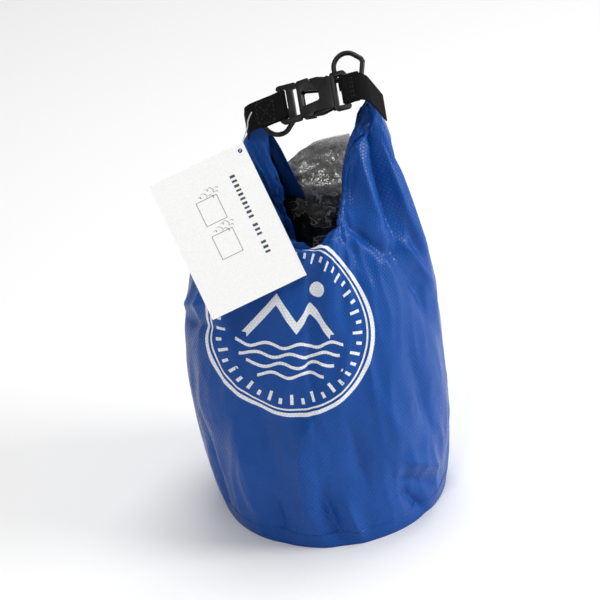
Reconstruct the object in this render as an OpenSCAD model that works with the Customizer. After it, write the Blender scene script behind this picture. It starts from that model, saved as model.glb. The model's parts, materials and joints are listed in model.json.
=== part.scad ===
// Roll-top dry bag, standing open on its round base. Its two mouth ends are
// clipped together as a carry loop. Millimetres. The origin is the centre of
// the base's lower face, +Z is up, the front (printed side) faces -Y.

/* [Bag] */
// Radius of the round base
base_r = 86; // [78:1:92]
// Thickness of the coated fabric wall
wall_t = 1.2; // [0.8:0.1:1.6]
// Height of the front lip, where the fabric folds into the mouth
front_lip_z = 238; // [225:1:245]
// Height of the back lip
back_lip_z = 234; // [225:1:240]
// Height of the left mouth end
left_tip_z = 311; // [305:1:313]
// Height of the right mouth end
right_tip_z = 332; // [320:1:334]
// How far in front of the middle the front lip stands
front_lip_y = 56; // [45:1:65]
// How far behind the middle the back lip stands
back_lip_y = 76; // [74:1:82]

/* [Webbing] */
// Width of all webbing
web_w = 20; // [16:1:22]
// Thickness of one layer of webbing
web_t = 1.4; // [1:0.1:1.8]

/* [Buckle] */
// Width of the buckle
buckle_w = 28; // [27.6:0.2:29]
// Thickness of the socket
socket_t = 9; // [8:0.5:11]
// Thickness of the plug frame and prongs
plug_t = 4.2; // [3.5:0.1:4.6]

/* [D-rings] */
// Thickness of the ring
ring_rod = 3.6; // [3:0.1:4]

/* [Hang tag] */
// Tag width
tag_w = 74; // [60:1:80]
// Tag length
tag_h = 105; // [80:1:110]
// Card thickness
tag_t = 0.6; // [0.4:0.1:1]

/* [Strap pack] */
// Width of the packed strap's clear bag
pack_w = 50; // [46:1:51]
// Length of the packed strap's clear bag
pack_len = 236; // [220:1:240]
// Depth of the packed strap's clear bag
pack_d = 25; // [25:1:27]

/* [Hidden] */

// bag surface
// the lip, every 15 degrees from the right mouth end round by the back: x, then y as a
// share of the lip's distance from the middle, then z as a share of the rise to the mouth end
lip_marks = [[56, 0, 1], [53, 0.224, 0.857], [48, 0.474, 0.592], [40, 0.697, 0.347], [30, 0.868, 0.163],
             [22, 0.974, 0.051], [12, 1, 0], [2, 0.961, 0], [-7, 0.829, 0.052], [-15, 0.632, 0.143],
             [-22, 0.408, 0.299], [-27, 0.184, 0.545], [-28, 0, 1], [-33, -0.125, 0.726],
             [-35, -0.286, 0.479], [-30, -0.5, 0.26], [-20, -0.75, 0.096], [-5, -0.929, 0.014],
             [10, -1, 0], [24, -0.946, 0.032], [31, -0.75, 0.149], [34, -0.5, 0.319],
             [39, -0.268, 0.511], [48, -0.107, 0.702]];
mark_step = 15;
right_bulge = 8;
left_bulge = 21;
side_dip = 3;
// share of the height at which each side has bulged out fully
right_belly = 0.3;
left_belly = 0.6;
right_shoulder = 7;
left_shoulder = 4;
step = 7.5;
main_rows = [0, 0.04, 0.1, 0.2, 0.32, 0.44, 0.56, 0.68, 0.78, 0.87, 0.94, 0.98, 1];
flap_rows = [1.15, 1.4, 1.7, 2];
front_flap_y = 25;
back_flap_y = 20;
flap_drop = 32;
tip_drop = 4;
trim_gap = 0.3;
trim_t = 0.6;
tape_from = 82.5;
tape_to = 97.5;
base_t = 1.5;
base_gap = 1.4;

// buckle frame: its x runs from the plug to the socket
buckle_at = [17.5, -10, 336];
buckle_tilt = 14;
buckle_lean = 40;

// horn cut: the plane that parts the left mouth end, parallel to the buckle
cut_z = 288;
cut_gap = 0.5;
cut_right = 6;

// plug, in the buckle frame
plug_x = -26.6;
shoulder_x = -10.6;
nose_x = -8.2;
nose_w = 22.6;
stub_x = -6;
stub_w = 5.2;
slot_h = 22;
rear_open_x = -19.4;
front_slot_x = -14.9;
front_slot_w = 3.5;
prong_pivot_x = -6.2;
prong_pivot_z = 8.6;
knuckle_r = 2;
knuckle_gap = 0.05;
leaf_t = 4;
head_t = 5.8;

// socket, in the buckle frame
mouth_x = -10.4;
socket_end = 26;
cavity_t = 6.2;
cavity_w = 24;
cavity_end = 14;
neck_x = 14;
ear_t = 4;
side_window_x = 5.7;
side_window_len = 14.2;
side_window_h = 8;
side_window_z = 15.2;

// webbing loops, in the buckle frame
bar_loop_r = 2.8;
bar_x = 24.1;
bar_r = 1.9;
rear_slot_x = 17.4;
// each tab bends back behind its mouth end with this radius
tab_bend_r = 9;
tab_drop = 0.5;
tab_slope = 0.14;

// D-rings, in the buckle frame
right_ring_at = [25.5, 7.2, 10];
left_ring_at = [-34, 6.6, -1];
ring_half = 9.7;
ring_rise = 8.5;
// the ring is a hair thicker where its straight runs meet
knob = 0.08;
// where the round bow ends and runs straight down to the ring's corner
bow_end = 48;
ring_corner = [[11.1, 11.6], [12.1, 9.2]];

// tag
tag_turn = 12;
tag_lean = 30;
tag_roll = 19.2;
tag_at = [-45, -59.5, 256.5];
hole_x = 32.6;
hole_z = 47.6;
hole_r = 1.6;
string_r = 0.5;
// from the tag's hole up to the left mouth end's webbing
string_path = [[-35.8, -29.9, 305.2], [-36.2, -28.1, 304.1], [-35.5, -25.7, 306], [-34.1, -22.9, 309.9],
               [-32.7, -20.2, 313.8], [-31.2, -17.4, 317.8], [-30.8, -16.3, 321.2],
               [-29.5, -14.9, 324.3], [-27.8, -13.1, 327.2]];

// strap pack, in its own leaning frame
pack_at = [9, 12.5, 44];
pack_lean = 5;
pack_wall = 0.8;
pack_r = 6;
// the open top slopes: its left corner is pushed down
top_len = 30;
top_slope = 22;
strap_w = 25;
strap_t = 1.5;
strap_len = 176;
strap_layers = 5;
strap_y = -3.6;
strap_base = 30;
hook_at = [12, 8, 150];

fabric = [0.13, 0.27, 0.58];
webbing = [0.06, 0.06, 0.07];
plastic = [0.09, 0.09, 0.1];
card = [0.96, 0.96, 0.95];

// ---------- bag surface: p is the angle round the bag, s runs up it ----------

function mix(a, b, t) = a + (b - a) * t;
function tip_z(p) = cos(p) > 0 ? right_tip_z : left_tip_z;
function lip_z(p) = sin(p) < 0 ? front_lip_z : back_lip_z;
function lip_y(p) = sin(p) < 0 ? front_lip_y : back_lip_y;
lip_points = [for (i = [0 : len(lip_marks) - 1]) let (m = lip_marks[i], p = i * mark_step)
              [m[0], m[1] * lip_y(p), mix(lip_z(p), tip_z(p), m[2])]];
function lip_at(i) = lip_points[(i + len(lip_points)) % len(lip_points)];
function spline(a, b, c, d, t) = (2 * b + (c - a) * t + (2 * a - 5 * b + 4 * c - d) * pow(t, 2)
                                  + (3 * b - a - 3 * c + d) * pow(t, 3)) / 2;
function crest(p) = let (q = p / mark_step, k = floor(q))
                    spline(lip_at(k - 1), lip_at(k), lip_at(k + 1), lip_at(k + 2), q - k);
function bulge(p) = pow(cos(p), 2) * (cos(p) > 0 ? right_bulge : left_bulge)
                    - pow(sin(p), 2) * side_dip;
function shoulder(p) = cos(p) > 0 ? right_shoulder : left_shoulder;
function belly(p) = cos(p) > 0 ? right_belly : left_belly;
function bulge_up(p, w) = (1 - pow(1 - min(w / belly(p), 1), 2)) * (1 - pow(w, shoulder(p)));
function wall_pt(p, w) = let (c = crest(p), r = [cos(p), sin(p)],
                              xy = mix(base_r * r, [c[0], c[1]], pow(w, 3)) + bulge(p) * bulge_up(p, w) * r)
                         [xy[0], xy[1], w * c[2]];
function fold(p) = pow(abs(sin(p)), 3);
function flap_y(p) = fold(p) * (sin(p) < 0 ? front_flap_y : back_flap_y);
function flap_pt(p, v) = wall_pt(p, 1)
                         + v * [-tip_drop * cos(p), flap_y(p), -tip_drop - flap_drop * fold(p)];
function surf(p, s) = s <= 1 ? wall_pt(p, s) : flap_pt(p, s - 1);
function unit(v) = v / norm(v);
function level(v) = [v[0], v[1], 0];
function raw_normal(p, s) = cross(surf(p + 1, s) - surf(p - 1, s),
                                  surf(p, min(s + 0.02, 2)) - surf(p, max(s - 0.02, 0)));
function normal(p, s) = unit(s < 0.01 ? level(raw_normal(p, s)) : raw_normal(p, s));
function off_pt(p, s, d) = surf(p, s) + d * normal(p, s);

// a solid skin over part of the surface, between two offsets from it
module skin(p0, p1, rows, d0, d1) {
    ring = (p1 - p0 >= 360);
    n = round((p1 - p0) / step);
    cols = ring ? n : n + 1;
    m = len(rows);
    outer = [for (j = [0 : m - 1]) for (i = [0 : cols - 1]) off_pt(p0 + i * step, rows[j], d1)];
    inner = [for (j = [0 : m - 1]) for (i = [0 : cols - 1]) off_pt(p0 + i * step, rows[j], d0)];
    k = m * cols;
    out_faces = [for (j = [0 : m - 2]) for (i = [0 : n - 1])
        let (a = j * cols + i, b = j * cols + (i + 1) % cols, c = b + cols, d = a + cols)
        each [[a, d, c], [a, c, b]]];
    in_faces = [for (f = out_faces) [f[2] + k, f[1] + k, f[0] + k]];
    low = [for (i = [0 : n - 1]) let (a = i, b = (i + 1) % cols) each [[a, b, b + k], [a, b + k, a + k]]];
    top0 = (m - 1) * cols;
    top = [for (i = [0 : n - 1]) let (a = top0 + i, b = top0 + (i + 1) % cols)
        each [[a, b + k, b], [a, a + k, b + k]]];
    ends = ring ? [] : [for (j = [0 : m - 2])
        let (a = j * cols, d = a + cols, b = a + n, c = b + cols)
        each [[a, a + k, d + k], [a, d + k, d], [b, c, c + k], [b, c + k, b + k]]];
    polyhedron(points = concat(outer, inner), faces = concat(out_faces, in_faces, low, top, ends));
}

module bag_shell() {
    skin(0, 360, concat(main_rows, flap_rows), -wall_t / 2, wall_t / 2);
}

// everything above the horn cut, on the left
module above_cut(lift) {
    big = 200;
    intersection() {
        translate([-32, 0, cut_z + lift]) rotate([0, -buckle_tilt, 0])
            translate([-big, -big, 0]) cube(2 * big);
        translate([-2 * big + cut_right - lift, -big, 0]) cube(2 * big);
    }
}

module bag_body() {
    color(fabric) difference() {
        bag_shell();
        above_cut(0);
    }
}

module bag_base() {
    color(fabric) cylinder(h = base_t, r = base_r - base_gap, $fn = 96);
}

module base_band() {
    color(fabric) skin(0, 360, [0, 0.04], wall_t / 2 + trim_gap, wall_t / 2 + trim_gap + trim_t);
}

module seam_tape() {
    color(fabric) skin(tape_from, tape_to, [0.1, 0.2, 0.32, 0.44, 0.56, 0.68, 0.78, 0.87, 0.94],
                       wall_t / 2 + trim_gap, wall_t / 2 + trim_gap + trim_t);
}

module front_strip() {
    color(fabric) skin(217.5, 322.5, [1.4, 1.7, 2],
                       -wall_t / 2 - trim_gap - trim_t, -wall_t / 2 - trim_gap);
}

module back_webbing() {
    color(webbing) skin(75, 105, [1.4, 1.7, 2],
                        wall_t / 2 + trim_gap, wall_t / 2 + trim_gap + web_t);
}

// ---------- helpers ----------

module rounded(w, h, r) {
    square([w - 2 * r, h], center = true);
    square([w, h - 2 * r], center = true);
    for (x = [-1, 1]) for (y = [-1, 1])
        translate([x * (w / 2 - r), y * (h / 2 - r)]) circle(r, $fn = 48);
}

// a flat shape drawn in x and z, given a thickness in y about the middle
module plate(t) {
    translate([0, t / 2, 0]) rotate([90, 0, 0]) linear_extrude(t) children();
}

module at_buckle() {
    translate(buckle_at) rotate([0, -buckle_tilt, 0]) rotate([-buckle_lean, 0, 0]) children();
}

function side(path, i) = let (a = path[max(i - 1, 0)], b = path[min(i + 1, len(path) - 1)],
                              d = unit(b - a)) [-d[1], d[0]];

// a band of webbing that follows a path drawn in x and y; its width runs along z
module band(path, t, w) {
    n = len(path) - 1;
    left = [for (i = [0 : n]) path[i] + side(path, i) * t / 2];
    right = [for (i = [n : -1 : 0]) path[i] - side(path, i) * t / 2];
    translate([0, 0, -w / 2]) linear_extrude(w) polygon(concat(left, right));
}

function arc(c, r, a0, a1, n) = [for (i = [0 : n]) let (a = mix(a0, a1, i / n))
                                 c + r * [cos(a), sin(a)]];

// ---------- right side ----------

// webbing through the socket's bar, doubled, then down behind the mouth end
module right_tab() {
    color(webbing) at_buckle() {
        band(concat(arc([bar_x, 0], bar_loop_r, 100, 260, 12), [[27, -2.3], [31, -2]]), web_t, web_w);
        sink(-2) band(concat([[30.4, -2]], arc([31, 7], tab_bend_r, -90, -6, 8), [[41.4, 14], [43, 24]]),
                      web_t, web_w);
        band([[23.6, 2.76], [29, 1.4], [33, 1.4]], web_t, web_w);
    }
}

// lowers what lies behind y0 the more, the further back it is
module sink(y0) {
    multmatrix([[1, 0, 0, 0], [0, 1, 0, 0], [0, -tab_drop, 1, tab_drop * y0]]) children();
}

// short loop that holds a D-ring at the edge of a tab
module ring_loop(up) {
    loop_len = 15;
    loop_t = 1.2;
    tail_len = 9;
    eye_r = ring_rod / 2 + 0.3;
    shell_r = eye_r + loop_t;
    difference() {
        union() {
            rotate([0, 90, 0]) cylinder(h = loop_len, r = shell_r, center = true, $fn = 48);
            translate([-loop_len / 2, -shell_r, up > 0 ? -tail_len : 0])
                cube([loop_len, loop_t, tail_len]);
        }
        rotate([0, 90, 0]) cylinder(h = loop_len + 2, r = eye_r, center = true, $fn = 48);
    }
}

// a round rod from a to b, both given in x and z
module rod(a, b, r) {
    d = b - a;
    translate([a[0], 0, a[1]]) rotate([0, atan2(d[0], d[1]), 0]) cylinder(h = norm(d), r = r, $fn = 32);
    for (q = [a, b]) translate([q[0], 0, q[1]]) sphere(r + knob, $fn = 32);
}

// D-ring: straight bar on x through the origin, bow towards +z, round on one side and with a
// corner on the other
module d_ring() {
    r = ring_rod / 2;
    left = [-ring_half, 0];
    right = [ring_half, 0];
    bow = [0, ring_rise] + ring_half * [cos(bow_end), sin(bow_end)];
    translate([-ring_half, 0, 0]) cylinder(h = ring_rise, r = r, $fn = 32);
    rod(left, right, r);
    rod(ring_corner[1], right, r);
    rod(ring_corner[0], ring_corner[1], r);
    rod(bow, ring_corner[0], r);
    translate([0, 0, ring_rise]) rotate([90, 0, 0]) rotate([0, 0, bow_end])
        rotate_extrude(angle = 180 - bow_end, $fn = 64) translate([ring_half, 0]) circle(r, $fn = 32);
}

module right_ring_loop() {
    color(webbing) at_buckle() translate(right_ring_at) ring_loop(1);
}

module right_ring() {
    color(plastic) at_buckle() translate(right_ring_at) d_ring();
}

module socket_face() {
    difference() {
        hull() for (z = [-1, 1]) {
            translate([mouth_x + 1.8, z * (buckle_w / 2 - 2.4)]) circle(1.8, $fn = 32);
            translate([-1, z * (buckle_w / 2 - 2)]) circle(2, $fn = 32);
            translate([13, z * (buckle_w / 2 - 4)]) circle(2, $fn = 32);
        }
        // see-through window
        offset(1) offset(-1) polygon([[-7.9, -5.7], [5, -3.5], [5, 3.5], [-7.9, 5.7]]);
        // side windows the prong heads snap into
        for (z = [-1, 1]) translate([side_window_x, z * side_window_z])
            rounded(side_window_len, side_window_h, 2.6);
    }
}

module buckle_socket() {
    color(plastic) at_buckle() difference() {
        union() {
            plate(socket_t) socket_face();
            plate(ear_t) difference() {
                translate([(neck_x + socket_end) / 2, 0]) rounded(socket_end - neck_x, buckle_w, 2.5);
                translate([rear_slot_x, -slot_h / 2]) square([12, slot_h]);
            }
            translate([bar_x, 0, 0]) cylinder(h = slot_h + 1, r = bar_r, center = true, $fn = 48);
        }
        // room for the prongs, open at the mouth
        translate([mouth_x - 1, -cavity_t / 2, -cavity_w / 2])
            cube([cavity_end - mouth_x + 1, cavity_t, cavity_w]);
    }
}

// ---------- left side ----------

module left_horn() {
    color(fabric) intersection() {
        bag_shell();
        above_cut(cut_gap);
    }
}

// webbing through the plug's bar, doubled; it slopes down to the left
module left_tab() {
    slope = [[1, 0, 0, 0], [0, 1, 0, 0], [tab_slope, 0, 1, tab_slope * bar_x]];
    color(webbing) at_buckle() multmatrix(slope) {
        band(concat([[-57, 13]], arc([-45, 7], tab_bend_r, 190, 270, 8), [[-30, -2], [-27, -2.3]],
                    arc([-bar_x, 0], bar_loop_r, -80, 80, 12)), web_t, web_w);
        band([[-42, 1.2], [-30, 1.2], [-23.6, 2.76]], web_t, web_w);
    }
}

module left_ring_loop() {
    color(webbing) at_buckle() translate(left_ring_at) ring_loop(-1);
}

// hangs straight down from its loop
module left_ring() {
    color(plastic) at_buckle() translate(left_ring_at) rotate([buckle_lean, 0, 0])
        mirror([0, 0, 1]) d_ring();
}

module plug_face() {
    difference() {
        union() {
            translate([(plug_x + shoulder_x) / 2, 0]) rounded(shoulder_x - plug_x, buckle_w, 2.6);
            translate([shoulder_x - 1, -nose_w / 2]) square([nose_x - shoulder_x + 1, nose_w]);
            for (z = [-1, 1]) translate([(nose_x + stub_x) / 2 - 0.5, z * prong_pivot_z])
                square([stub_x - nose_x + 1, stub_w], center = true);
        }
        translate([plug_x - 6, -slot_h / 2]) square([rear_open_x - plug_x + 6, slot_h]);
        translate([front_slot_x, 1 - slot_h / 2]) square([front_slot_w, slot_h - 2]);
    }
}

module plug_frame() {
    color(plastic) at_buckle() {
        difference() {
            plate(plug_t) plug_face();
            // round sockets for the prongs' knuckles
            for (z = [-1, 1]) translate([prong_pivot_x, 0, z * prong_pivot_z]) {
                rotate([90, 0, 0])
                    cylinder(h = plug_t + 2, r = knuckle_r + knuckle_gap, center = true, $fn = 48);
                translate([0.8, 0, 0]) cube([2.4, plug_t + 2, 3.4], center = true);
            }
        }
        translate([-bar_x, 0, 0]) cylinder(h = slot_h + 1, r = bar_r, center = true, $fn = 48);
    }
}

// one prong: knuckle, leaf and thicker head, in the buckle frame, for the upper side
module prong_shape() {
    plate(leaf_t) {
        translate([prong_pivot_x, prong_pivot_z]) circle(knuckle_r, $fn = 48);
        polygon([[prong_pivot_x, 7.4], [0, 7.2], [9, 6.4], [11.8, 7.6], [11.8, 10.2], [0, 10.8],
                 [-2.4, 10], [prong_pivot_x, 9.8]]);
    }
    plate(head_t) hull() {
        translate([-0.4, 9.4]) square([1, 4]);
        translate([4.6, 11.6]) circle(2, $fn = 32);
        translate([10.4, 10.6]) circle(1.6, $fn = 32);
        translate([9, 8]) square([2.6, 1]);
    }
}

module prong_upper() {
    color(plastic) at_buckle() prong_shape();
}

module prong_lower() {
    color(plastic) at_buckle() mirror([0, 0, 1]) prong_shape();
}

// ---------- hang tag ----------

function tube_ring(path, i, r, n) = let (a = path[max(i - 1, 0)], b = path[min(i + 1, len(path) - 1)],
    d = unit(b - a), u = unit(cross(d, [1, 0, 0])), v = cross(d, u))
    [for (k = [0 : n - 1]) path[i] + r * (u * cos(360 * k / n) + v * sin(360 * k / n))];

module tube(path, r) {
    n = 12;
    m = len(path);
    points = [for (i = [0 : m - 1]) each tube_ring(path, i, r, n)];
    walls = [for (i = [0 : m - 2]) for (k = [0 : n - 1])
        let (a = i * n + k, b = i * n + (k + 1) % n) each [[a, b + n, b], [a, a + n, b + n]]];
    polyhedron(points = points, faces = concat(walls, [[for (k = [0 : n - 1]) k]],
               [[for (k = [n - 1 : -1 : 0]) (m - 1) * n + k]]));
}

module tag_string() {
    color([0.75, 0.76, 0.78]) tube(string_path, string_r);
}

module hang_tag() {
    color(card) translate(tag_at) rotate([0, 0, tag_turn]) rotate([-tag_lean, 0, 0])
        rotate([0, -tag_roll, 0]) plate(tag_t) difference() {
            square([tag_w, tag_h], center = true);
            translate([hole_x, hole_z]) circle(hole_r, $fn = 48);
        }
}

// ---------- packed shoulder strap ----------

module at_pack() {
    translate(pack_at) rotate([-pack_lean, 0, 0]) children();
}

module clear_bag() {
    color([0.75, 0.77, 0.8]) at_pack() difference() {
        linear_extrude(pack_len) rounded(pack_w, pack_d, pack_r);
        translate([0, 0, pack_wall]) linear_extrude(pack_len)
            rounded(pack_w - 2 * pack_wall, pack_d - 2 * pack_wall, pack_r - pack_wall);
        translate([-pack_w / 2 - 1, 0, pack_len - top_len]) rotate([0, -top_slope, 0])
            translate([0, 0, pack_w]) cube([4 * pack_w, 2 * pack_d, 2 * pack_w], center = true);
    }
}

// one long strap folded to and fro
function zigzag(i) = let (y = (i - (strap_layers - 1) / 2) * 2 * strap_t,
                          up = [[y, 0], [y, strap_len]], down = [[y, strap_len], [y, 0]])
                     i % 2 == 0 ? up : down;
function turn(i) = let (y = (i - (strap_layers - 1) / 2) * 2 * strap_t + strap_t)
    i % 2 == 0 ? arc([y, strap_len], strap_t, 180, 0, 6) : arc([y, 0], strap_t, 180, 360, 6);

module strap_webbing() {
    path = [for (i = [0 : strap_layers - 1]) each concat(zigzag(i), i < strap_layers - 1
            ? [for (k = [1 : 5]) turn(i)[k]] : [])];
    color(webbing) at_pack() translate([0, strap_y, strap_base])
        rotate([90, 0, 90]) band(path, strap_t, strap_w);
}

module strap_slider() {
    color(plastic) at_pack() translate([0, 6, strap_base + 40]) plate(2) difference() {
        rounded(31, 20, 2);
        for (z = [-1, 1]) translate([0, z * 4.6]) square([25.6, 4.4], center = true);
    }
}

// snap hook lying flat, its eye below the origin and its bow above
module hook_body() {
    plate(4) difference() {
        union() {
            translate([0, 5]) rounded(8, 10, 2);
            difference() {
                translate([0, 21]) rounded(19, 26, 8);
                translate([0, 21]) rounded(11.4, 18.4, 5);
                translate([4, 17]) square([10, 13], center = true);
            }
        }
    }
}

module hook_gate() {
    translate([7.6, 0, 11.2]) plate(3) translate([0, 5.9]) rounded(2.8, 11.6, 1);
}

module hook_eye() {
    translate([0, 0, -0.4]) mirror([0, 0, 1]) plate(3) difference() {
        translate([0, 7]) rounded(20, 14, 4);
        translate([0, 7]) rounded(15, 8.6, 2.5);
    }
}

module at_hook_one() {
    at_pack() translate([-hook_at[0], hook_at[1], hook_at[2]]) children();
}

module at_hook_two() {
    at_pack() translate(hook_at) children();
}

module hook_one() { color(plastic) at_hook_one() hook_body(); }

module gate_one() { color(plastic) at_hook_one() hook_gate(); }

module hook_one_eye() { color(plastic) at_hook_one() hook_eye(); }

module hook_two() { color(plastic) at_hook_two() hook_body(); }

module gate_two() { color(plastic) at_hook_two() hook_gate(); }

module hook_two_eye() { color(plastic) at_hook_two() hook_eye(); }

bag_body();
bag_base();
base_band();
seam_tape();
front_strip();
back_webbing();
right_tab();
right_ring_loop();
buckle_socket();
right_ring();
left_horn();
left_tab();
left_ring_loop();
plug_frame();
left_ring();
prong_upper();
prong_lower();
tag_string();
hang_tag();
clear_bag();
strap_webbing();
strap_slider();
hook_one();
hook_one_eye();
gate_one();
hook_two();
hook_two_eye();
gate_two();
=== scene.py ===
import json
import math

import bmesh
import bpy
import numpy as np
from mathutils import Matrix, Vector, noise


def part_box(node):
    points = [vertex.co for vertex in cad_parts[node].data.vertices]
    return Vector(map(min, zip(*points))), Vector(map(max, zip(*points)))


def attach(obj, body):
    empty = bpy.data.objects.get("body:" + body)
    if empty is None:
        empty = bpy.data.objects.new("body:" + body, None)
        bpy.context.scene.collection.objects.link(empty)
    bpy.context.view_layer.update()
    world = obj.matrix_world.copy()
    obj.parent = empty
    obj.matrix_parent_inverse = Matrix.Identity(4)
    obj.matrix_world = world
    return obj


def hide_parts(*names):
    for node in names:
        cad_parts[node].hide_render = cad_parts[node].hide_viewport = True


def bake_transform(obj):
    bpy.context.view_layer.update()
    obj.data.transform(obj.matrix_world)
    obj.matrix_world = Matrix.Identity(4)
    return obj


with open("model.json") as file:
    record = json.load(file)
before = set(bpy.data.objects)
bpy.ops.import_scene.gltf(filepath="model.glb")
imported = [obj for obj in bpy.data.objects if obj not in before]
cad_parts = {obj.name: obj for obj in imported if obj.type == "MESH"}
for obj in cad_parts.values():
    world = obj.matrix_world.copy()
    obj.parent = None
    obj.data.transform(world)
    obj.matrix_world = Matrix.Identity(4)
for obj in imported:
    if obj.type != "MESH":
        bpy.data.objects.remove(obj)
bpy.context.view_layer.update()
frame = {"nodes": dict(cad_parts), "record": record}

MM = 0.001
SCENE = bpy.context.scene


# ---------------- camera

CAMERA_AZIMUTH = 12
CAMERA_ELEVATION = 30
CAMERA_ROLL = 6.5
CAMERA_DISTANCE = 2.0
CAMERA_LENS = 161.2
CAMERA_TARGET = Vector((-0.0112, 0.0, 0.1639))


def add_object(name, data):
    made = bpy.data.objects.new(name, data)
    SCENE.collection.objects.link(made)
    return made


def add_camera():
    azimuth, elevation, roll = (math.radians(a) for a in (CAMERA_AZIMUTH, CAMERA_ELEVATION, CAMERA_ROLL))
    level_reach = math.cos(elevation)
    back = Vector((math.sin(azimuth) * level_reach, -math.cos(azimuth) * level_reach, math.sin(elevation)))
    level = Vector((math.cos(azimuth), math.sin(azimuth), 0))
    upright = back.cross(level)
    right = level * math.cos(roll) - upright * math.sin(roll)
    up = upright * math.cos(roll) + level * math.sin(roll)
    data = bpy.data.cameras.new("camera")
    data.lens = CAMERA_LENS
    data.sensor_width = 36
    data.clip_end = 20
    place = Matrix((right, up, back)).transposed().to_4x4()
    place.translation = CAMERA_TARGET + back * CAMERA_DISTANCE
    SCENE.camera = add_object("camera", data)
    SCENE.camera.matrix_world = place


add_camera()


# ---------------- light and floor

SKY_STRENGTH = 0.34
LIT_POINT = Vector((0, 0, 0.18))
# each area light's place in metres, its power in watts and its size in metres
LIGHTS = {"key": ((1.7, 0.0, 0.75), 22, 0.7),
          "front": ((-0.2, -1.5, 1.7), 9, 0.5),
          "top": ((0.1, 0.5, 2.2), 26, 1.2)}
FLOOR_REACH = 6


def add_studio():
    world = bpy.data.worlds.new("studio")
    world.use_nodes = True
    sky = world.node_tree.nodes["Background"].inputs
    sky["Color"].default_value = (1, 1, 1, 1)
    sky["Strength"].default_value = SKY_STRENGTH
    SCENE.world = world
    SCENE.view_settings.view_transform = "Standard"
    for name, (place, power, size) in LIGHTS.items():
        data = bpy.data.lights.new(name, "AREA")
        data.energy = power
        data.size = size
        light = add_object(name, data)
        light.location = place
        light.rotation_euler = (LIT_POINT - Vector(place)).to_track_quat("-Z", "Y").to_euler()
    mesh = bpy.data.meshes.new("floor")
    corners = [(x * FLOOR_REACH, y * FLOOR_REACH, 0) for x, y in ((-1, -1), (1, -1), (1, 1), (-1, 1))]
    mesh.from_pydata(corners, [], [(0, 1, 2, 3)])
    floor = add_object("floor", mesh)
    mesh.materials.append(floor_material())


# ---------------- materials

def new_material(name):
    material = bpy.data.materials.new(name)
    material.use_nodes = True
    tree = material.node_tree
    return material, tree, tree.nodes["Principled BSDF"]


def node(tree, kind, **values):
    made = tree.nodes.new("ShaderNode" + kind)
    for key, value in values.items():
        if key in made.bl_rna.properties:
            setattr(made, key, value)
        else:
            made.inputs[key].default_value = value
    return made


def calc(tree, operation, first, second=0.0, third=0.0):
    made = node(tree, "Math", operation=operation)
    for socket, value in zip(made.inputs, (first, second, third)):
        if isinstance(value, (int, float)):
            socket.default_value = value
        else:
            tree.links.new(value, socket)
    return made.outputs[0]


def blend_range(tree, value, low, high, to_low, to_high):
    made = node(tree, "MapRange", interpolation_type="SMOOTHSTEP")
    tree.links.new(value, made.inputs["Value"])
    for name, number in (("From Min", low), ("From Max", high), ("To Min", to_low), ("To Max", to_high)):
        made.inputs[name].default_value = number
    return made.outputs["Result"]


def mix_colours(tree, factor, first, second):
    made = node(tree, "Mix", data_type="RGBA")
    tree.links.new(factor, made.inputs[0])
    for socket, value in ((made.inputs[6], first), (made.inputs[7], second)):
        if isinstance(value, tuple):
            socket.default_value = (*value, 1)
        else:
            tree.links.new(value, socket)
    return made.outputs[2]


def two_tone(tree, value, low, high, first, second):
    """One colour where value is under low, the other where it is over high."""
    return mix_colours(tree, blend_range(tree, value, low, high, 0, 1), first, second)


def split_place(tree, kind, output):
    """A texture place, and its three parts."""
    place = node(tree, kind).outputs[output]
    split = node(tree, "SeparateXYZ")
    tree.links.new(place, split.inputs[0])
    return place, split.outputs


def ripple(tree, value, pitch, shape="SINE"):
    return calc(tree, shape, calc(tree, "MULTIPLY", value, 2 * math.pi / pitch))


def noise_value(tree, scale, detail=3.0, coordinates=None, roughness=0.5):
    made = node(tree, "TexNoise", Scale=scale, Detail=detail, Roughness=roughness)
    if coordinates is None:
        coordinates = node(tree, "TexCoord").outputs["Object"]
    tree.links.new(coordinates, made.inputs["Vector"])
    return made.outputs["Fac"]


def add_bump(tree, shader, height, distance, strength=1.0, previous=None):
    bump = node(tree, "Bump", Strength=strength, Distance=distance)
    tree.links.new(height, bump.inputs["Height"])
    if previous is not None:
        tree.links.new(previous, bump.inputs["Normal"])
    tree.links.new(bump.outputs["Normal"], shader.inputs["Normal"])
    return bump.outputs["Normal"]


def floor_material():
    material, _, shader = new_material("floor")
    shader.inputs["Base Color"].default_value = (0.96, 0.96, 0.96, 1)
    shader.inputs["Roughness"].default_value = 0.85
    return material


HONEYCOMB_CELL = 2.7 * MM
ROWS_PER_CELL = 0.866


def honeycomb(tree):
    """Height of the embossed honeycomb weave, from UVs in metres: 1 on a cell, 0 in the lines between."""
    _, parts = split_place(tree, "UVMap", "UV")
    waves = []
    for turn in (0, 60, 120):
        angle = math.radians(turn)
        shares = [calc(tree, "MULTIPLY", part, f(angle)) for part, f in zip(parts, (math.sin, math.cos))]
        waves.append(ripple(tree, calc(tree, "ADD", *shares), HONEYCOMB_CELL * ROWS_PER_CELL, "COSINE"))
    total = calc(tree, "ADD", calc(tree, "ADD", waves[0], waves[1]), waves[2])
    return blend_range(tree, total, -1.5, 0.6, 0.0, 1.0)


# the cloth's dark and light blue, then a darker blue for the lines between the honeycomb cells: painted shade in
# the recesses
FABRIC_BLUES_AND_RECESS_SHADE = (0.007, 0.072, 0.320), (0.009, 0.083, 0.370), (0.005, 0.055, 0.260)


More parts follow.
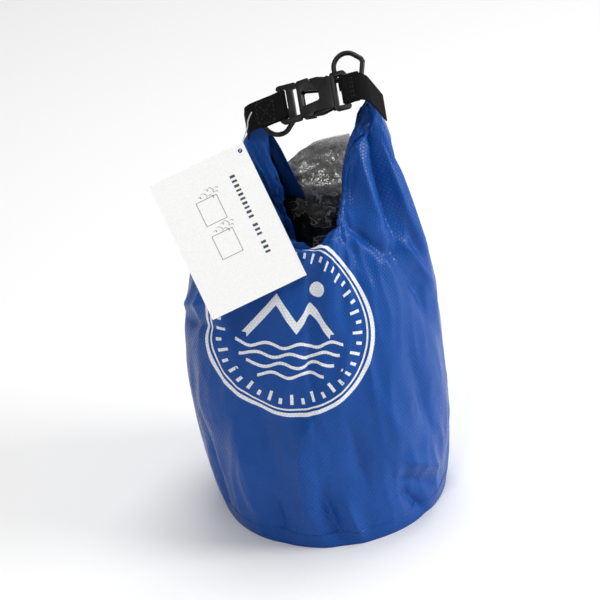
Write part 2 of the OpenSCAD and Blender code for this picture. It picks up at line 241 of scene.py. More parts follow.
def fabric_material(name="coated_fabric", painted_shade_scale=1.0):
    """Royal blue polyester with a semi-gloss coating over an embossed honeycomb weave. The lines between the cells
    are a darker blue, as painted shade in the recesses; the second argument darkens every colour, as painted shade
    for the bag's inside.
    """
    material, tree, shader = new_material(name)
    weave = honeycomb(tree)
    cloudy = noise_value(tree, 22, 4)
    scuffs = noise_value(tree, 140, 5, roughness=0.7)
    dark, light, lines = (tuple(c * painted_shade_scale for c in colour) for colour in FABRIC_BLUES_AND_RECESS_SHADE)
    base = two_tone(tree, cloudy, 0.3, 0.7, dark, light)
    # the darker blue in the weave's lines is painted shade in the recesses
    tree.links.new(two_tone(tree, weave, 0, 1, lines, base), shader.inputs["Base Color"])
    scuffed = calc(tree, "MULTIPLY", blend_range(tree, scuffs, 0.5, 0.75, 0, 1), 0.06)
    rough = calc(tree, "ADD", blend_range(tree, weave, 0, 1, 0.42, 0.25), scuffed)
    tree.links.new(rough, shader.inputs["Roughness"])
    shader.inputs["IOR"].default_value = 1.27
    first = add_bump(tree, shader, weave, 0.13 * MM, 0.8)
    add_bump(tree, shader, noise_value(tree, 45, 3), 0.5 * MM, 0.2, first)
    return material


def webbing_material():
    """Black woven webbing: rows of rib weave across the band, from UVs in metres."""
    material, tree, shader = new_material("webbing")
    _, parts = split_place(tree, "UVMap", "UV")
    along = ripple(tree, parts[0], 1.5 * MM)
    across = ripple(tree, parts[1], 1.1 * MM)
    weave = calc(tree, "MULTIPLY", along, across)
    ribs = calc(tree, "ADD", calc(tree, "MULTIPLY", weave, 0.6), calc(tree, "MULTIPLY", across, 0.4))
    fuzz = noise_value(tree, 900, 3)
    base = two_tone(tree, ribs, -1, 1, (0.0022, 0.0022, 0.0023), (0.0065, 0.0065, 0.0068))
    lint = mix_colours(tree, blend_range(tree, fuzz, 0.62, 0.8, 0, 0.35), base, (0.016, 0.016, 0.017))
    tree.links.new(lint, shader.inputs["Base Color"])
    shader.inputs["Roughness"].default_value = 0.85
    shader.inputs["Specular IOR Level"].default_value = 0.10
    shader.inputs["Sheen Weight"].default_value = 0.015
    shader.inputs["Sheen Roughness"].default_value = 0.5
    first = add_bump(tree, shader, ribs, 0.16 * MM, 0.9)
    add_bump(tree, shader, fuzz, 0.15 * MM, 0.4, first)
    return material


def packed_webbing_material():
    """The same webbing where a piece has no UVs: fine ribs along the strap's own length."""
    material, tree, shader = new_material("packed_webbing")
    _, parts = split_place(tree, "TexCoord", "Object")
    ribs = ripple(tree, parts[0], 1.4 * MM)
    picks = ripple(tree, parts[2], 1.1 * MM)
    crossed = calc(tree, "MULTIPLY", calc(tree, "MULTIPLY", ribs, picks), 0.5)
    weave = calc(tree, "ADD", calc(tree, "MULTIPLY", ribs, 0.5), crossed)
    base = two_tone(tree, weave, -1, 1, (0.004, 0.004, 0.0045), (0.013, 0.013, 0.014))
    tree.links.new(base, shader.inputs["Base Color"])
    shader.inputs["Roughness"].default_value = 0.8
    add_bump(tree, shader, weave, 0.15 * MM, 0.8)
    return material


def plastic_material():
    """Satin black acetal: fine mould texture, with a slightly polished look where it is handled."""
    material, tree, shader = new_material("buckle_plastic")
    grain = noise_value(tree, 2600, 2)
    patches = noise_value(tree, 90, 3)
    base = two_tone(tree, patches, 0.35, 0.7, (0.0060, 0.0062, 0.0064), (0.0105, 0.0107, 0.0110))
    tree.links.new(base, shader.inputs["Base Color"])
    tree.links.new(blend_range(tree, patches, 0.3, 0.7, 0.30, 0.42), shader.inputs["Roughness"])
    shader.inputs["Specular IOR Level"].default_value = 0.30
    add_bump(tree, shader, grain, 0.05 * MM, 0.35)
    return material


def mottled_material(name, scale, detail, levels, dark, light, rough, bump=None):
    """Two close colours, mixed by fine noise between two levels. The bump, if any, follows the same noise."""
    material, tree, shader = new_material(name)
    uneven = noise_value(tree, scale, detail)
    tree.links.new(two_tone(tree, uneven, *levels, dark, light), shader.inputs["Base Color"])
    shader.inputs["Roughness"].default_value = rough
    if bump:
        add_bump(tree, shader, uneven, *bump)
    return material


def ink_material(name, dark, light, rough):
    """Printed ink: slightly uneven cover, with the weave or card fibre showing through."""
    return mottled_material(name, 420, 4, (0.3, 0.62), dark, light, rough, (0.05 * MM, 0.4))


def bag_print_material():
    material, tree, shader = new_material("bag_print")
    weave = honeycomb(tree)
    wear = noise_value(tree, 260, 5, roughness=0.65)
    base = two_tone(tree, wear, 0.30, 0.42, (0.60, 0.66, 0.80), (0.88, 0.89, 0.90))
    tree.links.new(two_tone(tree, weave, 0, 0.6, (0.66, 0.71, 0.82), base), shader.inputs["Base Color"])
    shader.inputs["Roughness"].default_value = 0.42
    add_bump(tree, shader, weave, 0.08 * MM, 0.5)
    return material


# heights in metres over which the film turns from full to empty, and over which its tip turns clearer
FILM_EMPTIES = 0.2480, 0.2540
FILM_CLEARS = 0.270, 0.284


def film_material():
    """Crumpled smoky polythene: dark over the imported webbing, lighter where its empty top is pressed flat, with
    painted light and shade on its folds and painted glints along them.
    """
    material, tree, shader = new_material("clear_film")
    place, parts = split_place(tree, "TexCoord", "Object")
    warp = node(tree, "TexNoise", Scale=26.0, Detail=3.0)
    tree.links.new(place, warp.inputs["Vector"])
    moved = node(tree, "VectorMath", operation="MULTIPLY_ADD")
    tree.links.new(warp.outputs["Color"], moved.inputs[0])
    moved.inputs[1].default_value = (0.03, 0.03, 0.03)
    tree.links.new(place, moved.inputs[2])
    broad = noise_value(tree, 46, 4, moved.outputs[0], 0.62)
    fine = noise_value(tree, 150, 3, moved.outputs[0], 0.6)
    from_middle = calc(tree, "ABSOLUTE", calc(tree, "SUBTRACT", broad, 0.5))
    painted_glint = blend_range(tree, from_middle, 0.0, 0.035, 1.0, 0.0)
    # broad noise: it paints the folds lighter and darker, as painted light and shade, and it also sets how hazy
    # the film is, in its alpha
    fold_shade_and_haze = blend_range(tree, broad, 0.38, 0.66, 0.0, 1.0)
    wavy = calc(tree, "MULTIPLY_ADD", broad, 0.012, parts[2])
    empty = blend_range(tree, wavy, *FILM_EMPTIES, 0.0, 1.0)
    full_colour = mix_colours(tree, fold_shade_and_haze, (0.010, 0.010, 0.010), (0.075, 0.075, 0.070))
    empty_colour = mix_colours(tree, fold_shade_and_haze, (0.12, 0.12, 0.107), (0.29, 0.29, 0.265))
    smoky = mix_colours(tree, empty, full_colour, empty_colour)
    # thin lines where the broad noise crosses its middle are painted a light grey: painted glints along the
    # crumples
    colour = mix_colours(tree, blend_range(tree, painted_glint, 0.3, 1, 0, 0.6), smoky, (0.38, 0.38, 0.355))
    tree.links.new(colour, shader.inputs["Base Color"])
    tip = blend_range(tree, parts[2], *FILM_CLEARS, 0.0, 0.35)
    cover = blend_range(tree, fold_shade_and_haze, 0, 1, 0.84, 0.95)
    tree.links.new(calc(tree, "SUBTRACT", cover, tip), shader.inputs["Alpha"])
    shader.inputs["Roughness"].default_value = 0.14
    shader.inputs["Specular IOR Level"].default_value = 0.9
    first = add_bump(tree, shader, broad, 4.0 * MM, 0.9)
    add_bump(tree, shader, fine, 0.8 * MM, 0.6, first)
    return material


FABRIC = fabric_material()
# the same cloth at 0.55 of its colour, for the inside faces: painted shade inside the bag
INSIDE_PAINTED_SHADE = fabric_material("coated_fabric_inside_painted_shade", 0.55)
WEBBING = webbing_material()
PACKED = packed_webbing_material()
PLASTIC = plastic_material()
CARD = mottled_material("tag_card", 700, 4, (0.35, 0.65), (0.90, 0.90, 0.89), (0.94, 0.94, 0.935), 0.55,
                        (0.03 * MM, 0.25))
TAG_INK = ink_material("tag_ink", (0.030, 0.038, 0.058), (0.055, 0.066, 0.095), 0.5)
BAG_PRINT = bag_print_material()
FILM = film_material()
STRING = mottled_material("tag_string", 1500, 2, (0.3, 0.7), (0.42, 0.43, 0.44), (0.62, 0.63, 0.65), 0.35)
THREAD = ink_material("thread", (0.004, 0.004, 0.004), (0.012, 0.012, 0.013), 0.6)

add_studio()


# ---------------- mesh helpers

def smooth_faces(mesh, smooth=True):
    for face in mesh.polygons:
        face.use_smooth = smooth


def paint(mesh, material):
    mesh.materials.clear()
    mesh.materials.append(material)


def new_piece(name, points, faces, material, body, smooth=True):
    """A visible piece, attached to the named body; with body None it is left unattached."""
    mesh = bpy.data.meshes.new(name)
    mesh.from_pydata([tuple(p) for p in points], [], faces)
    mesh.update()
    mesh.materials.append(material)
    smooth_faces(mesh, smooth)
    piece = add_object(name, mesh)
    if body:
        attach(piece, body)
    return piece


def apply_modifiers(piece):
    shown = piece.evaluated_get(bpy.context.evaluated_depsgraph_get())
    mesh = bpy.data.meshes.new_from_object(shown)
    piece.modifiers.clear()
    piece.data = mesh


def make_solid(piece, thickness, offset=-1, inner_slot=0):
    thick = piece.modifiers.new("thickness", "SOLIDIFY")
    thick.thickness = thickness
    thick.offset = offset
    thick.material_offset = inner_slot
    apply_modifiers(piece)


def set_uvs(piece, values):
    """values holds one (u, v) for each loop, in metres."""
    layer = piece.data.uv_layers.new(name="UVMap")
    layer.data.foreach_set("uv", np.asarray(values, float).ravel())


def set_point_uvs(piece, places):
    """places holds one (u, v) for each point, in metres."""
    set_uvs(piece, [places[loop.vertex_index] for loop in piece.data.loops])


def grid_faces(rows, columns, closed=False, first=0):
    """Faces of a grid of points, numbered row by row. A closed grid joins its last column to its first."""
    faces = []
    for j in range(rows - 1):
        low, high = first + j * columns, first + (j + 1) * columns
        for i in range(columns if closed else columns - 1):
            k = (i + 1) % columns
            faces.append((low + i, low + k, high + k, high + i))
    return faces


def unit_rows(rows):
    return rows / np.maximum(np.linalg.norm(rows, axis=-1, keepdims=True), 1e-12)


def body_holding(name):
    return next(body for body, nodes in frame["record"]["behaviour"]["bodies"].items() if name in nodes)


def arc(centre, radius, start, stop, count):
    angles = np.radians(np.linspace(start, stop, count + 1))
    return [(centre[0] + radius * math.cos(a), centre[1] + radius * math.sin(a)) for a in angles]


def catmull_rom(p0, p1, p2, p3, t):
    """A point between p1 and p2, on the smooth curve through all four."""
    return 0.5 * (2 * p1 + (p2 - p0) * t + (2 * p0 - 5 * p1 + 4 * p2 - p3) * t * t
                  + (3 * p1 - p0 - 3 * p2 + p3) * t ** 3)


def steps_along(path):
    """The distance along a path to each of its points."""
    return np.r_[0, np.cumsum(np.linalg.norm(np.diff(path, axis=0), axis=1))]


def at_distances(path, along, wanted):
    return np.stack([np.interp(wanted, along, path[:, axis]) for axis in range(path.shape[1])], axis=1)


def spline_through(points, spacing):
    """Points evenly spaced along a smooth curve through the given ones."""
    points = np.array(points, float)
    padded = np.vstack([2 * points[0] - points[1], points, 2 * points[-1] - points[-2]])
    out = []
    for k in range(1, len(padded) - 2):
        for t in np.linspace(0, 1, 12, endpoint=False):
            out.append(catmull_rom(*padded[k - 1:k + 3], t))
    out.append(points[-1])
    out = np.array(out)
    lengths = steps_along(out)
    count = max(2, round(lengths[-1] / spacing))
    return at_distances(out, lengths, np.linspace(0, lengths[-1], count + 1))


# ---------------- the tag's string

STRING_DIAMETER = 1.0 * MM
# from behind the card's hole up to the webbing, in mm
STRING_ROUTE = [(-35.8, -29.9, 305.2), (-36.2, -28.1, 304.1), (-35.5, -25.7, 306.0), (-34.1, -22.9, 309.9),
                (-32.7, -20.2, 313.8), (-31.2, -17.4, 317.8), (-30.8, -16.3, 321.2), (-29.5, -14.9, 324.3),
                (-27.8, -13.1, 327.2)]


def add_tag_string():
    points = spline_through(np.array(STRING_ROUTE) * MM, 1.6 * MM)[::-1]
    data = bpy.data.curves.new("string", "CURVE")
    data.dimensions = "3D"
    spline = data.splines.new("POLY")
    spline.points.add(len(points) - 1)
    for point, place in zip(spline.points, points):
        point.co = (*place, 1)
    data.bevel_depth = STRING_DIAMETER / 2
    data.bevel_resolution = 4
    data.use_fill_caps = True
    data.materials.append(STRING)
    piece = add_object("string", data)
    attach(piece, "tag")
    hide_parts("tag_string")


add_tag_string()


# ---------------- the bag's fabric

BASE_RADIUS = 86 * MM
ROUND = 2 * math.pi * BASE_RADIUS
COLUMNS = 112
ROWS = 76
FINER = 3
SETTLE_FRAMES = 26
# how firmly each part is held while it settles, from 0 to 1
LIP_HOLD = 0.5
WALL_HOLD = 0.004
BACK_FLAP_HOLD = 0.95
HELD_TIP = 0.020
HELD_TIP_HALF_WIDTH = 0.005
# the share of the folded-over cloth that is cut away at the back
BACK_TRIM = 0.72
# how much larger the cloth is cut than the shape it starts from
SLACK = 1.06

RIGHT_TIP_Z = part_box("bag_body")[1][2] / MM
LEFT_TIP_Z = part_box("left_horn")[1][2] / MM

# the lip all round, every 15 degrees, from the right mouth end over the back: x, y, z in mm
LIP = np.array([(56, 0, RIGHT_TIP_Z), (53, 17, 318), (48, 36, 292), (40, 53, 268), (30, 66, 250), (22, 74, 239),
                (12, 76, 234), (2, 73, 234), (-7, 63, 238), (-15, 48, 245), (-22, 31, 257), (-27, 14, 276),
                (-28, 0, LEFT_TIP_Z), (-33, -7, 291), (-35, -16, 273), (-30, -28, 257), (-20, -42, 245),
                (-5, -52, 239), (10, -56, 238), (24, -53, 241), (31, -42, 252), (34, -28, 268), (39, -15, 286),
                (48, -6, 304)], float)
# how far the wall swells at the right and the left and sinks at front and back, in mm
BULGE = 8, 21, 3
# at the right and the left: how sharply the swelling ends at the lip, and the share of the height it grows over
SHOULDERS = 7, 4
BELLIES = 0.3, 0.6


def signed_power(value, power):
    return math.copysign(abs(value) ** power, value)


def around_list(points, angle):
    """A smooth closed curve through evenly spaced points, at an angle in radians."""
    count = len(points)
    place = angle / (2 * math.pi) * count
    k = math.floor(place)
    t = place - k
    return catmull_rom(*(points[(k + d) % count] for d in (-1, 0, 1, 2)), t)


def wall_point(angle, share):
    """A point of the bag's wall before it settles, in mm: share runs from 0 at the base to 1 at the lip."""
    c, s = math.cos(angle), math.sin(angle)
    crest = around_list(LIP, angle)
    right, left, dip = BULGE
    bulge = (right if c > 0 else left) * c * c - dip * s * s
    half = 0 if c > 0 else 1
    out = bulge * (1 - (1 - min(share / BELLIES[half], 1)) ** 2) * (1 - share ** SHOULDERS[half])
    lean = share ** 3
    radius = BASE_RADIUS / MM
    x, y = (radius * turn * (1 - lean) + end * lean + out * turn
            for turn, end in ((c, crest[0]), (s, crest[1])))
    return np.array([x, y, share * crest[2]])


def column_path(angle):
    return np.array([wall_point(angle, k / 60) for k in range(61)])


def path_length(path):
    return np.linalg.norm(np.diff(path, axis=0), axis=1).sum()


def grid_angles(columns=COLUMNS):
    """Column 0 is the middle of the back."""
    return math.pi / 2 + 2 * math.pi * np.arange(columns) / columns


WALL_HEIGHT = max(path_length(column_path(a)) for a in grid_angles()) + 4


def flap_length(angle):
    """How much cloth is folded over the lip, in mm: less at the back, where the fold lies outside."""
    spare = WALL_HEIGHT - path_length(column_path(angle))
    return spare * (1 - BACK_TRIM * max(math.sin(angle), 0) ** 1.5)


def start_grids():
    """The wall as first folded, and the plain tube it was cut as."""
    folded = np.zeros((ROWS + 1, COLUMNS, 3))
    tube = np.zeros_like(folded)
    for i, angle in enumerate(grid_angles()):
        path = column_path(angle)
        c, s = math.cos(angle), math.sin(angle)
        fall = abs(s) ** 3
        flap = np.array([-4 * c, fall * (25 if s < 0 else 16), -4 - 32 * fall])
        flap *= flap_length(angle) / np.linalg.norm(flap)
        path = np.vstack([path, path[-1] + flap])
        along = steps_along(path)
        wanted = np.linspace(0, along[-1], ROWS + 1)
        folded[:, i] = at_distances(path, along, wanted)
        tube[:, i, 0] = BASE_RADIUS / MM * c * SLACK
        tube[:, i, 1] = BASE_RADIUS / MM * s * SLACK
        tube[:, i, 2] = wanted * SLACK
    return folded * MM, tube * MM


def pack_proxy():
    """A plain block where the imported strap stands, for the fabric to rest against."""
    low, high = (np.array(c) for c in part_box("clear_bag"))
    lean = math.radians(5)
    mesh = bpy.data.meshes.new("proxy")
    made = bmesh.new()
    bmesh.ops.create_cube(made, size=1)
    made.to_mesh(mesh)
    made.free()
    block = add_object("proxy", mesh)
    block.scale = (0.050, 0.025, (high[2] - low[2]) / math.cos(lean))
    block.rotation_euler = (-lean, 0, 0)
    block.location = (low + high) / 2
    block.modifiers.new("collision", "COLLISION")
    block.collision.thickness_outer = 0.002
    return block


def hold_weights():
    """How firmly each point of the grid is held, row by row."""
    tip_rows = int(HELD_TIP / (WALL_HEIGHT * MM) * ROWS)
    lengths = [(path_length(column_path(a)), flap_length(a)) for a in grid_angles()]
    lip_rows = [wall / (wall + flap) * ROWS for wall, flap in lengths]
    for j in range(ROWS + 1):
        for angle, lip_row in zip(grid_angles(), lip_rows):
            side = abs(math.sin(angle)) * BASE_RADIUS
            if j == 0 or (j >= ROWS - tip_rows and side < HELD_TIP_HALF_WIDTH):
                yield 1
            elif abs(j - lip_row) < 1.2:
                yield LIP_HOLD
            elif j > lip_row and math.sin(angle) > 0.2:
                yield BACK_FLAP_HOLD
            else:
                yield WALL_HOLD


# coated cloth, slightly full of air
CLOTH = {"quality": 5, "mass": 0.0015, "pin_stiffness": 1, "tension_stiffness": 60, "compression_stiffness": 60,
         "shear_stiffness": 20, "bending_stiffness": 0.6, "tension_damping": 20, "compression_damping": 20,
         "shear_damping": 20, "bending_damping": 2, "air_damping": 5, "use_pressure": True,
         "uniform_pressure_force": 0.12}
CLOTH_TOUCH = {"use_self_collision": True, "self_distance_min": 0.0012, "distance_min": 0.001,
               "collision_quality": 2}


def settle(folded, tube):
    """Lets the fabric find its own creases, held at the base and at the two clipped ends."""
    mesh = bpy.data.meshes.new("settling")
    mesh.from_pydata(folded.reshape(-1, 3).tolist(), [], grid_faces(ROWS + 1, COLUMNS, closed=True))
    cloth = add_object("settling", mesh)
    cloth.shape_key_add(name="folded")
    flat = cloth.shape_key_add(name="tube", from_mix=False)
    flat.data.foreach_set("co", tube.reshape(-1))
    flat.value = 0
    held = cloth.vertex_groups.new(name="held")
    for index, weight in enumerate(hold_weights()):
        held.add([index], weight, "REPLACE")
    modifier = cloth.modifiers.new("cloth", "CLOTH")
    for settings, values in ((modifier.settings, CLOTH), (modifier.collision_settings, CLOTH_TOUCH)):
        for setting, value in values.items():
            setattr(settings, setting, value)
    modifier.settings.vertex_group_mass = held.name
    modifier.settings.rest_shape_key = flat
    modifier.settings.effector_weights.gravity = 0.1
    modifier.point_cache.frame_start = 1
    modifier.point_cache.frame_end = SETTLE_FRAMES
    block = pack_proxy()
    for step in range(1, SETTLE_FRAMES + 1):
        SCENE.frame_set(step)
    shown = cloth.evaluated_get(bpy.context.evaluated_depsgraph_get())
    settled = np.zeros(folded.size)
    shown.data.vertices.foreach_get("co", settled)
    bpy.data.objects.remove(cloth)
    bpy.data.objects.remove(block)
    SCENE.frame_set(1)
    return settled.reshape(folded.shape)


def smooth_refine(grid, axis, closed):
    """Catmull-Rom refinement of a grid of points along one axis."""
    count = grid.shape[axis]
    if closed:
        around = [np.roll(grid, shift, axis) for shift in (1, 0, -1, -2)]
        steps = count
    else:
        first = 2 * np.take(grid, [0], axis) - np.take(grid, [1], axis)
        last = 2 * np.take(grid, [-1], axis) - np.take(grid, [-2], axis)
        padded = np.concatenate([first, grid, last], axis)
        around = [np.take(padded, range(k, k + count - 1), axis) for k in range(4)]
        steps = count - 1
    stacked = np.stack([catmull_rom(*around, t) for t in np.arange(FINER) / FINER], axis + 1)
    shape = list(grid.shape)
    shape[axis] = steps * FINER
    fine = stacked.reshape(shape)
    return fine if closed else np.concatenate([fine, np.take(grid, [-1], axis)], axis)


def outward(grid):
    """The direction out of the cloth at each point of a grid."""
    around = np.roll(grid, -1, 1) - np.roll(grid, 1, 1)
    return unit_rows(np.cross(around, np.gradient(grid, axis=0)))


class Fabric:
    """The settled wall.

    across is the distance round from the front's middle, and up is the distance along the cloth from the base.
    """

    def __init__(self, grid):
        self.grid = grid
        self.rows, self.columns = grid.shape[:2]
        self.height = WALL_HEIGHT * MM
        self.normals = outward(grid)

    def at(self, across, up, lift=0.0):
        across, up = np.broadcast_arrays(np.asarray(across, float), np.asarray(up, float))
        column = (across / ROUND + 0.5) * self.columns
        row = np.clip(up / self.height * (self.rows - 1), 0, self.rows - 1 - 1e-9)
        i, j = np.floor(column).astype(int), np.floor(row).astype(int)
        s, t = (column - i)[..., None], (row - j)[..., None]
        i0, i1 = i % self.columns, (i + 1) % self.columns

        def sample(field):
            return (field[j, i0] * (1 - s) * (1 - t) + field[j, i1] * s * (1 - t)
                    + field[j + 1, i0] * (1 - s) * t + field[j + 1, i1] * s * t)

        return sample(self.grid) + unit_rows(sample(self.normals)) * lift


# creases, listed one by one: points as (across, up) in mm, how far the cloth rises or sinks there, and half the
# width
CREASES = [
    ([(129, 341), (117, 305), (113, 274), (108, 247), (106, 226)], -11.0, 6.5),
    ([(118, 330), (104, 300), (98, 270), (96, 246)], 4.8, 7.0),
    ([(128, 330), (124, 297), (124, 249), (130, 208)], 5.1, 5.0),
    ([(134, 335), (137, 290), (141, 240), (146, 190)], -4.8, 5.0),
    ([(148, 320), (156, 270), (160, 220)], 3.2, 6.0),
    ([(64, 253), (76, 239), (92, 222), (106, 221)], -9.5, 6.0),
    ([(64, 262), (80, 277), (93, 292)], -4.0, 5.0),
    ([(62, 246), (78, 232), (98, 219)], 5.6, 8.0),
    ([(106, 230), (118, 206), (130, 180)], 6.4, 6.0),
    ([(100, 210), (112, 184), (122, 150)], -4.0, 8.0),
    ([(-128, 168), (-112, 176), (-92, 188), (-80, 196)], 4.5, 6.0),
    ([(-126, 158), (-108, 163), (-88, 170), (-70, 172)], -4.0, 6.0),
    ([(-100, 230), (-92, 212), (-84, 196)], -5.6, 6.0),
    ([(70, 62), (84, 52), (110, 34)], 4.5, 6.0),
    ([(62, 46), (84, 34), (104, 20)], -5.0, 7.0),
    ([(92, 4), (82, 16), (70, 34)], -6.5, 5.0),
    ([(19, 6), (12, 26), (6, 52)], -5.4, 5.0),
    ([(34, 4), (28, 22), (24, 40)], 5.4, 5.0),
    ([(4, 4), (-4, 30), (-8, 76), (-3, 98), (10, 120)], 4.7, 9.0),
    ([(32, 106), (37, 76), (44, 40)], -4.7, 9.0),
    ([(-47, 135), (-39, 107), (-30, 70)], -4.3, 10.0),
    ([(-58, 100), (-52, 64), (-48, 22)], 5.1, 9.0),
    ([(-36, 46), (-30, 24), (-28, 4)], -5.1, 6.0),
    ([(58, 128), (66, 96), (70, 66)], 4.3, 10.0),
    ([(90, 140), (98, 100), (104, 62)], -5.1, 9.0),
    ([(-96, 90), (-92, 50), (-88, 10)], -5.7, 7.0),
]


def crease_depth(across, up):
    """How far the listed creases move each point of a grid, in mm."""
    total = np.zeros(np.broadcast(across, up).shape)
    for points, depth, half_width in CREASES:
        line = spline_through(points, 4.0)
        start, run = line[:-1], np.diff(line, axis=0)
        lengths = np.linalg.norm(run, axis=1)
        best = np.full(total.shape, 1e9)
        along = np.zeros(total.shape)
        done = 0.0
        for (x, y), (dx, dy), length in zip(start, run, lengths):
            t = np.clip(((across - x) * dx + (up - y) * dy) / length ** 2, 0, 1)
            gap = np.hypot(across - x - t * dx, up - y - t * dy)
            closer = gap < best
            best = np.where(closer, gap, best)
            along = np.where(closer, done + t * length, along)
            done += length
        fade = np.sin(np.pi * np.clip((along / done) * 0.86 + 0.07, 0, 1)) ** 0.8
        sharp = np.exp(-(best / half_width) ** 1.35)
        total += depth * fade * sharp
    return total


def crumple_depth(angles, ups):
    """Broad soft crumples, longer up the bag than round it, in mm."""
    total = np.zeros((len(ups), len(angles)))
    for j, up in enumerate(ups):
        for i, angle in enumerate(angles):
            c, s = math.cos(angle), math.sin(angle)
            low = noise.noise(Vector((c * 2.6, s * 2.6, up * 0.010 + 4)))
            mid = noise.noise(Vector((c * 5.2 + 9, s * 5.2, up * 0.021)))
            fine = noise.noise(Vector((c * 10.5, s * 10.5 + 5, up * 0.045)))
            total[j, i] = 2.4 * low + 1.3 * (0.45 - abs(mid) * 2.2) + 0.2 * (0.4 - abs(fine) * 2)
    return total


def add_creases(fine):
    rows, columns = fine.shape[:2]
    across = ((np.arange(columns) / columns - 0.5) * ROUND / MM)[None, :]
    up = (np.arange(rows) / (rows - 1) * WALL_HEIGHT)[:, None]
    crumples = crumple_depth(grid_angles(columns), up[:, 0]) * np.clip(up / 14, 0, 1)
    return fine + outward(fine) * ((crease_depth(across, up) + crumples) * MM)[..., None]


def make_fabric():
    folded, tube = start_grids()
    settled = settle(folded, tube)
    settled[..., 2] = np.maximum(settled[..., 2], 0)
    fine = add_creases(smooth_refine(smooth_refine(settled, 0, False), 1, True))
    fine[..., 2] = np.maximum(fine[..., 2], 0)
    return Fabric(fine)


BAG = make_fabric()


def skin_uvs(rows, columns, closed, across, up):
    """Loop UVs of a grid of faces, from the grid's across and up values."""
    values = []
    for j in range(rows - 1):
        for i in range(columns if closed else columns - 1):
            for dj, di in ((0, 0), (0, 1), (1, 1), (1, 0)):
                values.append((across[i + di], up[j + dj]))
    return values


CLOTH_THICK = 0.6 * MM


def bend_to_left_end(piece):
    """Bakes the piece's placement into its mesh."""
    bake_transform(piece)


def add_bag_skin():
    faces = grid_faces(BAG.rows, BAG.columns, closed=True)
    piece = new_piece("bag_skin", BAG.grid.reshape(-1, 3), faces, FABRIC, None)
    across = np.linspace(0, ROUND, BAG.columns + 1)
    up = np.linspace(0, BAG.height, BAG.rows)
    set_uvs(piece, skin_uvs(BAG.rows, BAG.columns, True, across, up))
    # the inside faces take the darker copy of the cloth, as painted shade
    piece.data.materials.append(INSIDE_PAINTED_SHADE)
    make_solid(piece, CLOTH_THICK, inner_slot=1)
    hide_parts("bag_body", "left_horn")
    bend_to_left_end(piece)


def fabric_patch(name, across, up, lift, thickness, material, closed=False, body="bag"):
    """A strip bonded to the fabric: a grid of points lifted off it, made solid."""
    a, b = np.meshgrid(across, up)
    points = BAG.at(a, b, lift)
    rows, columns = a.shape
    wide = np.r_[across, across[0] + ROUND] if closed else across
    faces = grid_faces(rows, columns, closed)
    piece = new_piece(name, points.reshape(-1, 3), faces, material, body)
    set_uvs(piece, skin_uvs(rows, columns, closed, wide, up))
    make_solid(piece, thickness, -1 if lift > 0 else 1)
    return piece


# the strips' sizes, in mm
WELD_TOP = 12
TAPE_HALF_WIDTH, TAPE_TOP = 10, 270
STIFFENER_HALF_LENGTH, BACK_WEB_HALF_LENGTH = 110, 115
LIP_STRIP_WIDTH = 20


def add_trims():
    around = np.arange(BAG.columns) * (ROUND / BAG.columns)
    up = np.linspace(0.2, WELD_TOP, 8) * MM
    band = fabric_patch("base_band_weld", around, up, 0.15 * MM, 0.14 * MM, FABRIC, closed=True)
    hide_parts("base_band")
    back = ROUND / 2
    across = back + np.linspace(-TAPE_HALF_WIDTH, TAPE_HALF_WIDTH, 15) * MM
    up = np.arange(14, TAPE_TOP, 1.6) * MM
    tape = fabric_patch("seam_tape_weld", across, up, 0.5 * MM, 0.4 * MM, FABRIC)
    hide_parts("seam_tape")
    # the front stiffener lies inside the lip and takes the darker copy of the cloth, as painted shade
    for name, stands_for, middle, half_length, edge, lift, thickness, material, slot in (
            ("front_stiffener", "front_strip", 0, STIFFENER_HALF_LENGTH, 2, -1.1, 0.4, INSIDE_PAINTED_SHADE, "coated_fabric"),
            ("back_webbing_band", "back_webbing", back, BACK_WEB_HALF_LENGTH, 4, 1.6, 1.3, WEBBING, "webbing")):
        across = middle + np.linspace(-half_length, half_length, 150) * MM
        up = np.linspace(BAG.height - (edge + LIP_STRIP_WIDTH) * MM, BAG.height - edge * MM, 14)
        strip = fabric_patch(name, across, up, lift * MM, thickness * MM, material, body=None)
        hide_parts(stands_for)
        bend_to_left_end(strip)


def add_base():
    """Round base panel, welded inside the band: nearly flat, with a slight ripple in the coated cloth."""
    rings, spokes = 26, 120
    radius = BASE_RADIUS - 1.2 * MM
    points = [(0, 0, 1.2 * MM)]
    for r in range(1, rings + 1):
        for k in range(spokes):
            a = 2 * math.pi * k / spokes
            x, y = radius * r / rings * math.cos(a), radius * r / rings * math.sin(a)
            lift = 0.45 * MM * (noise.noise(Vector((x * 30, y * 30, 1.7))) + 1) * (1 - (r / rings) ** 6)
            points.append((x, y, 0.6 * MM + lift))
    faces = [(0, 1 + k, 1 + (k + 1) % spokes) for k in range(spokes)]
    for r in range(rings - 1):
        for k in range(spokes):
            a, b = 1 + r * spokes + k, 1 + r * spokes + (k + 1) % spokes
            faces.append((a, a + spokes, b + spokes, b))
    piece = new_piece("base_panel", points, faces, FABRIC, "bag")
    set_point_uvs(piece, [vertex.co[:2] for vertex in piece.data.vertices])
    make_solid(piece, CLOTH_THICK)
    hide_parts("bag_base")


add_bag_skin()
add_trims()
add_base()


# ---------------- the print: a ring, two peaks and waves

PRINT_ACROSS = -12 * MM
PRINT_UP = 181 * MM
PRINT_HALF_WIDTH, PRINT_HALF_HEIGHT = 77, 69
INK_LIFT = 0.22 * MM
# the drawing itself is laid out in shares of its half width and half height
RAYS = 44
GROUND = -0.08
SNOW_DEPTH = 0.13
WAVE_HEIGHTS = -0.19, -0.30, -0.41, -0.52
WAVE_REACH = 0.70
SUN = 0.30, 0.42


